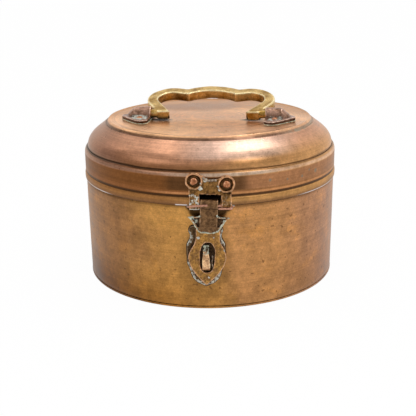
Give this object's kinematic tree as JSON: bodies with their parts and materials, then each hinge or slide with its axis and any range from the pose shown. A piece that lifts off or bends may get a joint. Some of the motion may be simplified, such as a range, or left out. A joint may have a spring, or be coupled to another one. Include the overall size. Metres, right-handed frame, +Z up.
{
  "type": "lockable storage box",
  "caption": "Round brass storage box with a hinged domed lid, a slotted swinging hasp over a padlock staple, and a lobed bail handle that folds down on its saddles.",
  "frame": {"origin": "centre of the flat underside, on the surface that the box stands on", "axes": "+Z up; -Y towards the hasp at the front, +Y towards the lid's hinge, +X to the right as seen from the front"},
  "size_m": [0.2, 0.2188, 0.1424],
  "materials": {
    "body_brass": "aged golden brown brass, fine turning lines, mottled patina",
    "lid_brass": "aged pinkish brown brass, satin polish",
    "handle_brass": "worn yellow cast brass",
    "saddle_brass": "coppery cast brass with grey-green deposits",
    "leaf_brass": "dull brown brass with verdigris at its edges",
    "hasp_bronze": "brown bronze patina with pale verdigris at its edges",
    "staple_brass": "rubbed bright along its front",
    "rivet_copper": "copper red, hammered"
  },
  "bodies": {
    "box": {"base_disc": "body_brass", "drum_wall": "body_brass", "mouth_collar": "body_brass", "staple_plate": "hasp_bronze", "staple": "staple_brass", "hinge_leaf_lower": "leaf_brass", "hinge_rivet_lower_left": "rivet_copper", "hinge_rivet_lower_right": "rivet_copper", "hinge_pin": "rivet_copper"},
    "lid": {"lid_band": "lid_brass", "lid_dome": "lid_brass", "hasp_leaf": "leaf_brass", "hasp_leaf_rivet_left": "rivet_copper", "hasp_leaf_rivet_right": "rivet_copper", "hasp_pin": "rivet_copper", "hinge_leaf_upper": "leaf_brass", "hinge_rivet_upper_left": "rivet_copper", "hinge_rivet_upper_right": "rivet_copper", "saddle_left": "saddle_brass", "saddle_right": "saddle_brass", "saddle_left_rivet_front": "saddle_brass", "saddle_left_rivet_back": "saddle_brass", "saddle_right_rivet_front": "saddle_brass", "saddle_right_rivet_back": "saddle_brass"},
    "hasp": {"hasp_strap": "hasp_bronze", "hasp_plate": "hasp_bronze", "hasp_strap_rivet": "hasp_bronze"},
    "bail": {"handle": "handle_brass"}
  },
  "joints": [
    {"name": "lid_hinge", "type": "hinge", "parent": "box", "child": "lid", "pos_m": [0, 0.1051, 0.0799], "axis": [-1, 0, 0], "range_deg": [0, 105]},
    {"name": "hasp_hinge", "type": "hinge", "parent": "lid", "child": "hasp", "pos_m": [0, -0.1051, 0.0799], "axis": [-1, 0, 0], "range_deg": [0, 110]},
    {"name": "bail_pivot", "type": "hinge", "parent": "lid", "child": "bail", "pos_m": [-0.001, -0.016, 0.1277], "axis": [0.9925, -0.1219, 0], "range_deg": [0, 150]}
  ]
}
